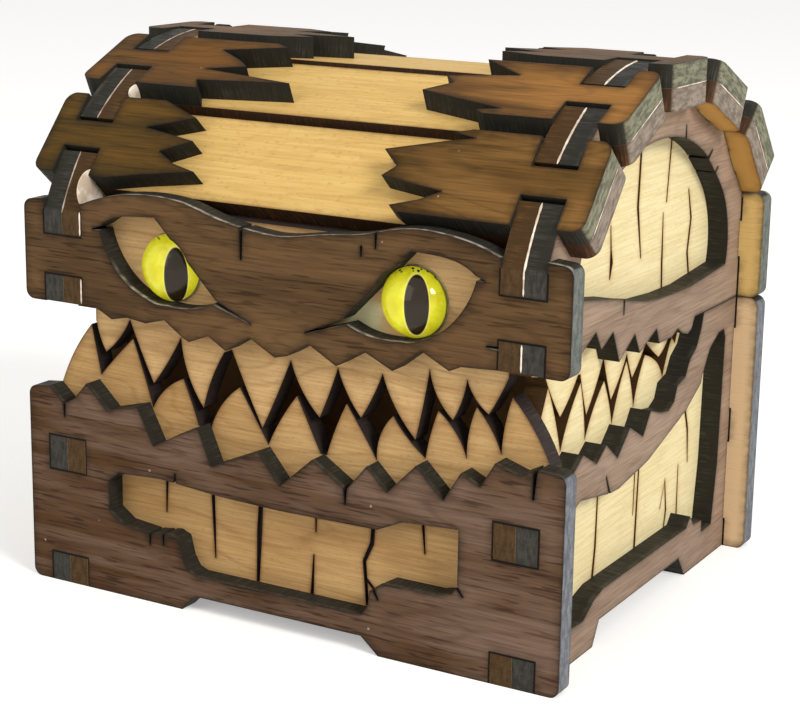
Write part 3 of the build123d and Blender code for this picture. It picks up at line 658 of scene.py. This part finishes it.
def hand_over(piece: Object, body: str, replaced: tuple[str, ...] = ()) -> None:
    """Puts a finished piece on its body and hides the CAD nodes that it stands for.

    Args:
        piece: the finished piece.
        body: the body it moves with.
        replaced: the CAD nodes that it takes the place of.
    """
    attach(piece, body)
    if replaced:
        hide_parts(*replaced)
    LOG.info("%s: %d faces on %s", piece.name, len(piece.data.polygons), body)


def line(start: Vector, end: Vector, steps: int) -> list[Vector]:
    """Evenly spaced places from start to end, both included."""
    return [start.lerp(end, step / steps) for step in range(steps + 1)]


# ------------ glue


@dataclass(frozen=True)
class GlueFinish:
    """Dried glue: pale where it is thick, with brown soot wiped into it."""

    name: str
    light: str
    dark: str
    roughness: float

    def material(self) -> Material:
        """Builds the glue, or finds it again if it is already made.

        Returns:
            The material.
        """
        if self.name in bpy.data.materials:
            return bpy.data.materials[self.name]
        material, tree = new_material(self.name)
        links = {0: add(tree, "TexCoord", output="Object"), 3: 0.5 / MM}
        place = add(tree, "VectorMath", links, operation="SCALE")
        cloud = add(tree, "TexNoise", {"Vector": place, "Scale": 1, "Detail": 3})
        cloud = add(tree, "MapRange", (cloud, 0.38, 0.6, 0, 1), **SMOOTH)
        colour = add(tree, "Mix", {FAC: cloud, OLD: self.dark, NEW: self.light}, MIXED, **RGBA)
        grit = add(tree, "TexNoise", {"Vector": place, "Scale": 5, "Detail": 2})
        bump = add(tree, "Bump", {"Strength": 0.3, "Distance": 0.05 * MM, "Height": grit})
        links = {
            "Base Color": colour, "Roughness": self.roughness, "IOR": 1.47, "Normal": bump,
        }  # fmt: skip
        add(tree, "OutputMaterial", (add(tree, "BsdfPrincipled", links),))
        return material


# PVA wood glue that dried in the seams: off-white beads with soot in them
WOOD_GLUE = GlueFinish("dried_wood_glue", "#EDE1D0", "#C9B49E", 0.42)
# The same glue, darker, on the tops of the left tabs
DARKER_GLUE = GlueFinish("darker_wood_glue", "#B5A594", "#85725F", 0.5)
# Contact glue round the eyes: a thin grey-green skin
EYE_GLUE = GlueFinish("dried_contact_glue", "#A8A688", "#7C7550", 0.3)


@dataclass
class Glue:
    """Beads and smears of glue in one area, modelled as one piece."""

    name: str
    kind: GlueFinish
    sides: int = 8
    swell: tuple[float, float] = (0.75, 1.2)  # a bead's least and greatest share of its radius
    tip: float = 0.3  # the same of its two ends
    parts: list[Object] = field(default_factory=list)

    def open_part(self) -> None:
        """Puts a new primitive among the parts and opens it for editing, all selected."""
        self.parts.append(settle(bpy.context.object, self.name))
        bpy.ops.object.mode_set(mode="EDIT")
        bpy.ops.mesh.select_all(action="SELECT")

    def bead(self, places: list[Vector], radius: float) -> None:
        """Extrudes an uneven bead along a line of places.

        Args:
            places: points of the line, in metres.
            radius: the bead's radius.
        """
        uneven = Random(len(self.parts) + 11)
        sizes = [radius * uneven.uniform(*self.swell) for _ in places]
        sizes[0] = sizes[-1] = radius * self.tip
        clear_selection()
        bpy.ops.mesh.primitive_circle_add(
            vertices=self.sides, radius=sizes[0], location=places[0], fill_type="NGON",
            rotation=(places[-1] - places[0]).to_track_quat("Z", "Y").to_euler(),
        )  # fmt: skip
        self.open_part()
        for index in range(1, len(places)):
            step = places[index] - places[index - 1]
            bpy.ops.mesh.extrude_region_move(TRANSFORM_OT_translate={"value": step})
            ratio = sizes[index] / sizes[index - 1]
            bpy.ops.transform.resize(value=(ratio,) * 3, center_override=places[index])
        bpy.ops.mesh.select_all(action="SELECT")
        bpy.ops.mesh.normals_make_consistent(inside=False)
        bpy.ops.object.mode_set(mode="OBJECT")

    def smear(self, centre: Vector, size: Vector) -> None:
        """Flattens and roughens a ball into a smear.

        Args:
            centre: its middle, in metres.
            size: its half-lengths along X, Y and Z.
        """
        seed = len(self.parts) + 3
        clear_selection()
        bpy.ops.mesh.primitive_ico_sphere_add(subdivisions=4, radius=1, location=centre, scale=size)
        self.open_part()
        bpy.ops.transform.vertex_random(offset=min(size) * 0.35, normal=0.5, seed=seed)
        bpy.ops.mesh.vertices_smooth(factor=0.6, repeat=3)
        bpy.ops.object.mode_set(mode="OBJECT")

    def ring(self, centre: Vector, radius: float, thickness: float) -> None:
        """Turns an uneven bead round the foot of an eye.

        Args:
            centre: middle of the foot, in metres.
            radius: the ring's radius.
            thickness: the bead's radius.
        """
        clear_selection()
        bpy.ops.mesh.primitive_torus_add(
            major_segments=96, minor_segments=self.sides, major_radius=radius,
            minor_radius=thickness, location=centre, rotation=(math.pi / 2, 0, 0),
        )  # fmt: skip
        self.open_part()
        bpy.ops.transform.vertex_random(offset=thickness * 0.3, normal=0.6, seed=4)
        bpy.ops.object.mode_set(mode="OBJECT")

    def finish(self, body: str, slot: str) -> None:
        """Joins the parts, smooths and dresses them and puts them on their body.

        Args:
            body: the body they move with.
            slot: not used.
        """
        clear_selection()
        for part in self.parts:
            part.select_set(True)
        bpy.context.view_layer.objects.active = self.parts[0]
        if len(self.parts) > 1:
            bpy.ops.object.join()
        bpy.ops.object.shade_smooth_by_angle(angle=math.radians(60))
        piece = bpy.context.object
        piece.name = self.name
        dress_piece(piece, self.kind.material())
        hand_over(piece, body)


@dataclass
class SeamGlue:
    """Glue that came out of the lid's seams on one side of the chest."""

    side: str
    tab_radius: float = 38.6 * MM
    tab_gap: float = math.radians(5)  # widest step between two points of one tab's top
    board_end: float = 43.6 * MM  # beyond it a point lies on the end of a roof board
    slot_runs: tuple = ((43.1, 46.7), (53.0, 56.4))  # mm, heights of the panel's slots
    slot_bead: float = 0.12 * MM
    barrel: Vector = field(default_factory=lambda: Vector((0, -1.35, 41.2)) * MM)
    # Squeezed out on the left, above the brow and beside the second board: the middle, with X
    # from the lining's face, and the half-size, in mm
    smears: tuple = (
        ((0.05, -34.4, 59.3), (0.2, 3.2, 3.0)), ((0.05, -23.4, 72.1), (0.25, 1.9, 1.2)),
    )  # fmt: skip

    @property
    def sign(self) -> int:
        """1 on the right, -1 on the left."""
        return 1 if self.side == "right" else -1

    @property
    def bead(self) -> float:
        """Radius of the beads, which came out thicker on the right."""
        return (0.16 if self.side == "right" else 0.11) * MM

    def build(self) -> None:
        """Models all the glue of this side."""
        self.tab_tops()
        self.board_ends()
        self.slots()

    def tab_tops(self) -> None:
        """Pale lines over the round tops of the gable's tabs, where its two layers meet."""
        low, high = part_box(f"gable_panel_{self.side}")
        seam = low.x if self.sign > 0 else high.x
        turns = {}
        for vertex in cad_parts[f"gable_panel_{self.side}"].data.vertices:
            arm = vertex.co - self.barrel
            arm.x = 0
            on_top = abs(arm.length - self.tab_radius) < 0.6 * MM
            if on_top and abs(vertex.co.x - seam) < TOUCH * MM:
                turns[round(math.atan2(arm.y, arm.z), 4)] = vertex.co.copy()
        kind = WOOD_GLUE if self.side == "right" else DARKER_GLUE
        glue = Glue(f"glue_on_roof_tabs_{self.side}", kind)
        runs = [[]]
        last = min(turns)
        for turn in sorted(turns):
            if turn - last > self.tab_gap:
                runs.append([])
            runs[-1].append(turns[turn])
            last = turn
        for run in runs:
            places = run[-1:]
            for start, end in reversed(list(zip(run, run[1:]))):
                places = line(start, end, 3)[:-1] + places
            if len(run) > 2:
                glue.bead(places, self.bead)
        glue.finish("lid", "maple_lining")

    def board_ends(self) -> None:
        """Lines between plank and cap on the ends of the roof boards."""
        glue = Glue(f"glue_on_board_ends_{self.side}", WOOD_GLUE)
        for number in range(1, 6):
            cap = Board(f"roof_cap_{number}_{self.side}", WALNUT_ROOF, number)
            down = cap.normal.cross(cap.grain)
            seam = []
            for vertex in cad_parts[cap.node].data.vertices:
                outer = abs(vertex.co.x) > self.board_end
                if outer and abs(vertex.co.dot(cap.normal) / MM - cap.back) < TOUCH:
                    seam.append(vertex.co.copy())
            start = min(seam, key=down.dot)
            end = max(seam, key=down.dot)
            glue.bead(line(start, end, 14), self.bead * 0.7)
        glue.finish("lid", "maple_lining")

    def slots(self) -> None:
        """Light lines in the eye panel's slots: on the left at the tabs' inner edge, and on
        the right between their two layers."""
        glue = Glue(f"glue_in_slots_{self.side}", WOOD_GLUE)
        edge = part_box(f"gable_lining_{self.side}")[1].x
        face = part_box("lid_front_panel")[0].y
        for bottom, top in self.slot_runs:
            start = Vector((edge, face, bottom * MM))
            end = Vector((edge, face, top * MM))
            glue.bead(line(start, end, 10), self.slot_bead)
        if self.side == "left":
            for place, half in self.smears:
                glue.smear(Vector((edge, 0, 0)) + Vector(place) * MM, Vector(half) * MM)
        glue.finish("lid", "maple_lining")


# ------------ glass eyes


@dataclass(frozen=True)
class PrintedIris:
    """Print under the glass: yellow with a slit pupil and dark flecks."""

    bright: str = "#FAF638"
    deep: str = "#E6D920"
    rim: str = "#8A851A"
    pupil: str = "#2C2211"
    halo: str = "#FAFAA0"
    half_width: float = 1.5  # mm, of the pupil
    half_height: float = 3.5
    pupil_place: tuple[float, float] = (0.45, -0.2)  # mm right of and above the middle

    def material(self, name: str, centre: Vector, radius: float) -> Material:
        """Builds the print, centred on one eye.

        Args:
            name: name of the material.
            centre: middle of the disc in metres.
            radius: the disc's radius in millimetres.

        Returns:
            The material.
        """
        material, tree = new_material(name)
        place = add(tree, "TexCoord", output="Object")
        links = {"Vector": place, "Location": -centre / MM, "Scale": (1 / MM,) * 3}
        local = add(tree, "Mapping", links)
        across = add(tree, "SeparateXYZ", (local,), "X")
        height = across.node.outputs["Z"]
        flat = add(tree, "CombineXYZ", (across, height))
        out = add(tree, "VectorMath", (flat,), "Value", operation="LENGTH")
        turn = add(tree, "Math", (height, across), operation="ARCTAN2")
        turns = add(tree, "Math", (turn, 9.0), operation="MULTIPLY")
        rays = add(tree, "CombineXYZ", (turns, out))
        thread = add(tree, "TexNoise", {"Vector": rays, "Scale": 1, "Detail": 2})
        thread = add(tree, "MapRange", (thread, 0.4, 0.7, 0, 0.3), **SMOOTH)
        cloud = add(tree, "TexNoise", {"Vector": flat, "Scale": 0.35, "Detail": 2})
        cloud = add(tree, "MapRange", (cloud, 0.3, 0.6, 0, 1), **SMOOTH)
        colour = add(tree, "Mix", {FAC: cloud, OLD: self.deep, NEW: self.bright}, MIXED, **RGBA)
        edge = add(tree, "MapRange", (out, 0.9 * radius, radius, 0, 1), **SMOOTH)
        slit = add(tree, "VectorMath", (flat, (*self.pupil_place, 0)), operation="SUBTRACT")
        size = (self.half_width, self.half_height, 1)
        slit = add(tree, "VectorMath", (slit, size), operation="DIVIDE")
        slit = add(tree, "VectorMath", (slit,), "Value", operation="LENGTH")
        halo = add(tree, "MapRange", (slit, 1.16, 1.04, 0, 0.5), **SMOOTH)
        pupil = add(tree, "MapRange", (slit, 1.04, 0.98, 0, 1), **SMOOTH)
        # Flecks of the print gather near its top
        cells = add(tree, "TexVoronoi", {"Vector": flat, "Scale": 1.5}, "Distance")
        dots = add(tree, "MapRange", (cells, 0.36, 0.24, 0, 1), **SMOOTH)
        top = add(tree, "MapRange", (height, 0.6 * radius, 0.74 * radius, 0, 1), **SMOOTH)
        dots = add(tree, "Math", (dots, top), operation="MULTIPLY")
        layers = [
            (thread, self.deep, RGBA), (edge, self.rim, RGBA), (halo, self.halo, RGBA),
            (pupil, self.pupil, RGBA), (dots, self.pupil, RGBA),
        ]  # fmt: skip
        colour = laid_over(tree, colour, layers)
        links = {"Base Color": colour, "Roughness": 0.5, "IOR": 1.5, "Specular IOR Level": 0.0}
        add(tree, "OutputMaterial", (add(tree, "BsdfPrincipled", links),))
        return material


# The left disc was glued down askew, with its pupil lower and further right
IRISES = {"left": PrintedIris(half_width=1.65, pupil_place=(0.85, -0.95)), "right": PrintedIris()}


@dataclass
class GlassEye:
    """A domed glass eye cast on its printed disc and glued to the lining."""

    side: str
    rim: float = 0.5 * MM
    print_depth: float = 0.05 * MM  # the print's bond, inside the glass
    foot_ratio: float = 0.985  # width of the foot in the print, against the rim
    disc_edge: float = 0.03 * MM
    glue_bead: float = 0.13 * MM
    segments: int = 96

    def build(self) -> None:
        """Models and dresses the dome, the disc and the glue."""
        low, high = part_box(f"eye_glass_{self.side}")
        disc_low, disc_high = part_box(f"eye_iris_{self.side}")
        centre = (low + high) / 2
        radius = (high.x - low.x) / 2
        self.dome(centre, radius, low.y, high.y)
        self.disc(centre, radius, disc_low.y, disc_high.y)
        glue = Glue(f"eye_glue_{self.side}", EYE_GLUE)
        foot = Vector((centre.x, disc_high.y, centre.z))
        glue.ring(foot, radius + self.disc_edge, self.glue_bead)
        glue.finish("lid", "eye_glass")

    def dome(self, centre: Vector, radius: float, tip: float, base: float) -> None:
        """Slice of a glass ball with a short polished rim.

        Args:
            centre: middle of the eye.
            radius: its radius.
            tip: Y of its foremost point.
            base: Y of its foot.
        """
        clear_selection()
        shoulder = base - self.rim
        swell = shoulder - tip
        ball = (radius**2 + swell**2) / (2 * swell)
        bpy.ops.mesh.primitive_uv_sphere_add(
            segments=self.segments, ring_count=self.segments, radius=ball,
            location=(centre.x, tip + ball, centre.z), rotation=(math.pi / 2, 0, 0),
        )  # fmt: skip
        piece = settle(bpy.context.object, f"eye_dome_{self.side}")
        bpy.ops.object.mode_set(mode="EDIT")
        bpy.ops.mesh.select_all(action="SELECT")
        bpy.ops.mesh.bisect(
            plane_co=(0, shoulder, 0), plane_no=(0, 1, 0), clear_outer=True, use_fill=False
        )
        bpy.ops.mesh.extrude_region_move(TRANSFORM_OT_translate={"value": (0, self.rim, 0)})
        foot = base + self.print_depth
        bpy.ops.mesh.extrude_region_move(
            TRANSFORM_OT_translate={"value": (0, self.print_depth, 0)}
        )
        bpy.ops.transform.resize(
            value=(self.foot_ratio,) * 3, center_override=(centre.x, foot, centre.z)
        )
        bpy.ops.mesh.edge_face_add()
        bpy.ops.mesh.select_all(action="SELECT")
        bpy.ops.mesh.normals_make_consistent(inside=False)
        bpy.ops.object.mode_set(mode="OBJECT")
        bpy.ops.object.shade_smooth_by_angle(angle=math.radians(40))
        # Pressed glass: clear with a hint of yellow and sharp reflections. Its IOR is below
        # that of real glass, because the studio is whiter than the room in the photograph
        material, tree = new_material(f"clear_glass_{self.side}")
        links = {
            "Base Color": "#FEFEF8", "Roughness": 0.02, "IOR": 1.38, "Transmission Weight": 1.0,
        }  # fmt: skip
        add(tree, "OutputMaterial", (add(tree, "BsdfPrincipled", links),))
        dress_piece(piece, material)
        hand_over(piece, "lid", (f"eye_glass_{self.side}",))

    def disc(self, centre: Vector, radius: float, front: float, back: float) -> None:
        """Printed disc with a rounded rim.

        Args:
            centre: middle of the eye.
            radius: the disc's radius.
            front: Y of the printed face.
            back: Y of the face on the lining.
        """
        clear_selection()
        bpy.ops.mesh.primitive_cylinder_add(
            vertices=self.segments, radius=radius, depth=back - front,
            location=(centre.x, (front + back) / 2, centre.z), rotation=(math.pi / 2, 0, 0),
        )  # fmt: skip
        piece = settle(bpy.context.object, f"eye_print_{self.side}")
        bevel = piece.modifiers.new("rim", "BEVEL")
        bevel.width = self.disc_edge
        bevel.segments = 2
        bevel.limit_method = "ANGLE"
        bpy.ops.object.modifier_apply(modifier=bevel.name)
        middle = Vector((centre.x, front, centre.z))
        iris = IRISES[self.side]
        dress_piece(piece, iris.material(f"printed_iris_{self.side}", middle, radius / MM))
        hand_over(piece, "lid", (f"eye_iris_{self.side}",))


# ------------ metal


@dataclass(frozen=True)
class MetalFinish:
    """Small hardware: drawn or stamped metal with a thin skin of tarnish."""

    name: str
    bright: str
    tarnish: str
    roughness: float
    edge: float = 0.08 * MM  # rounding that the light shows
    brushing: float = 0.02 * MM  # depth of the brush marks

    def material(self) -> Material:
        """Builds the metal.

        Returns:
            The material.
        """
        material, tree = new_material(self.name)
        links = {0: add(tree, "TexCoord", output="Object"), 3: 1 / MM}
        place = add(tree, "VectorMath", links, operation="SCALE")
        links = {"Vector": place, "Scale": 0.6, "Detail": 4, "Distortion": 0.5}
        cloud = add(tree, "MapRange", (add(tree, "TexNoise", links), 0.4, 0.7, 0, 1), **SMOOTH)
        stretched = add(tree, "VectorMath", (place, (0.3, 6, 6)), operation="MULTIPLY")
        brush = add(tree, "TexNoise", {"Vector": stretched, "Scale": 1, "Detail": 2})
        colour = add(tree, "Mix", {FAC: cloud, OLD: self.bright, NEW: self.tarnish}, MIXED, **RGBA)
        sleek, dull = self.roughness - 0.08, self.roughness + 0.12
        rough = add(tree, "MapRange", (brush, 0.3, 0.7, sleek, dull), **SMOOTH)
        edges = add(tree, "Bevel", {"Radius": self.edge}, samples=4)
        links = {"Strength": 0.25, "Distance": self.brushing, "Height": brush, "Normal": edges}
        bump = add(tree, "Bump", links)
        links = {"Base Color": colour, "Metallic": 1.0, "Roughness": rough, "Normal": bump}
        add(tree, "OutputMaterial", (add(tree, "BsdfPrincipled", links),))
        return material


# Stamped brass of the hinge leaves and screws: brushed, browned in patches
BRASS = MetalFinish("stamped_brass", "#C9A55C", "#A8854A", 0.34)
# Drawn steel wire of the pins
STEEL = MetalFinish("drawn_steel", "#B9B9B6", "#8C8B88", 0.3)


# ------------ studio


@dataclass
class Studio:
    """Pale floor, soft light and the camera at the photograph's angle."""

    eye: Vector = field(default_factory=lambda: Vector((145.05, -257.71, 107.80)) * MM)
    azimuth: float = 29.50
    elevation: float = 14.10
    roll: float = 0.97
    focal_px: float = 2003.1
    centre_px: tuple[float, float] = (407.0, 347.5)
    picture_px: tuple[int, int] = (800, 720)
    sensor: float = 36.0

    def camera(self) -> None:
        """Camera solved from the photograph's corners."""
        a, e, r = (math.radians(x) for x in (self.azimuth, self.elevation, self.roll))
        back = Vector((math.sin(a) * math.cos(e), -math.cos(a) * math.cos(e), math.sin(e)))
        level = (-back).cross(Vector((0, 0, 1))).normalized()
        upright = level.cross(-back)
        right = level * math.cos(r) + upright * math.sin(r)
        up = upright * math.cos(r) - level * math.sin(r)
        data = bpy.data.cameras.new("photo_camera")
        data.lens = self.focal_px * self.sensor / self.picture_px[0]
        data.sensor_width = self.sensor
        data.shift_x = (self.picture_px[0] / 2 - self.centre_px[0]) / self.picture_px[0]
        data.shift_y = (self.centre_px[1] - self.picture_px[1] / 2) / self.picture_px[0]
        data.clip_start = 0.01
        camera = bpy.data.objects.new("photo_camera", data)
        bpy.context.scene.collection.objects.link(camera)
        turned = Matrix((right, up, back)).transposed().to_4x4()
        camera.matrix_world = Matrix.Translation(self.eye) @ turned
        bpy.context.scene.camera = camera

    def lamp(self, name: str, place: tuple, size: float, watts: float, colour: str) -> None:
        """Soft square lamp that looks at the chest.

        Args:
            name: the lamp's name.
            place: where it stands, in metres.
            size: length of its side.
            watts: its power.
            colour: its hex colour.
        """
        data = bpy.data.lights.new(name, "AREA")
        data.size = size
        data.energy = watts
        data.color = linear(colour)[:3]
        lamp = bpy.data.objects.new(name, data)
        bpy.context.scene.collection.objects.link(lamp)
        lamp.location = place
        aim = Vector((0, 0, 0.04)) - lamp.location
        lamp.rotation_euler = aim.to_track_quat("-Z", "Y").to_euler()

    def world(self) -> None:
        """Even sky: its light is plain, and what the camera sees of it is white."""
        world = bpy.data.worlds.new("studio")
        bpy.context.scene.world = world
        world.use_nodes = True
        tree = world.node_tree
        tree.nodes.clear()
        light = add(tree, "Background", ("#FFFFFF", 0.6))
        white = add(tree, "Background", ("#FFFFFF", 1.0))
        add(tree, "OutputWorld", (add(tree, "MixShader", (self.seen(tree), light, white)),))

    def seen(self, tree: NodeTree) -> NodeSocket:
        """Marks the rays that should find a white studio.

        Args:
            tree: node tree to add to.

        Returns:
            Socket that is 1 for camera, glossy and transmission rays.
        """
        rays = add(tree, "LightPath", output="Is Camera Ray")
        for name in ("Is Glossy Ray", "Is Transmission Ray"):
            links = (rays, add(tree, "LightPath", output=name))
            rays = add(tree, "Math", links, operation="MAXIMUM")
        return rays

    def floor(self) -> None:
        """Wide pale floor that keeps the chest's shadow."""
        clear_selection()
        bpy.ops.mesh.primitive_plane_add(size=12, location=(0, 0, 0))
        floor = bpy.context.object
        floor.name = "studio_floor"
        material, tree = new_material("matte_floor")
        matte = add(tree, "BsdfDiffuse", ("#F2F1EF",))
        glow = add(tree, "Emission", ("#FFFFFF", 0.33))
        lit = add(tree, "AddShader", (matte, glow))
        add(tree, "OutputMaterial", (add(tree, "MixShader", (self.seen(tree), matte, lit)),))
        dress_piece(floor, material)

    def build(self) -> None:
        """Sets up the camera, the light and the floor."""
        self.camera()
        self.world()
        self.floor()
        self.lamp("window_right", (0.85, -0.35, 0.62), 0.3, 8.0, "#FFFDF8")
        self.lamp("soft_front", (-0.35, -0.95, 0.55), 0.8, 3.2, "#FFF9F0")
        bpy.context.scene.view_settings.view_transform = "Standard"


# ------------ the chest


@dataclass
class Chest:
    """Everything of the chest: boards, hardware, eyes and glue."""

    sides: tuple[str, str] = ("left", "right")

    def boards(self) -> None:
        """Dresses each laser-cut board."""
        for seed, node in enumerate(sorted(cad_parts), start=1):
            for finish, prefixes in FINISHES.items():
                if node.startswith(prefixes):
                    Board(node, finish, seed).dress()
                    LOG.info("%s dressed", node)

    def hardware(self) -> None:
        """Dresses the hinges and their screws."""
        brass, steel = BRASS.material(), STEEL.material()
        for node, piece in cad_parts.items():
            if node.startswith("hinge"):
                dress_piece(piece, steel if "pin" in node else brass)
                LOG.info("%s dressed", node)

    def eyes_and_glue(self) -> None:
        """Builds both glass eyes and the glue of both sides."""
        for side in self.sides:
            GlassEye(side).build()
            SeamGlue(side).build()


def main() -> None:
    """Builds the chest and the studio in order."""
    logging.basicConfig(level=logging.INFO, format="%(name)s %(message)s")
    chest = Chest()
    chest.boards()
    chest.hardware()
    chest.eyes_and_glue()
    Studio().build()


if __name__ == "__main__":
    main()
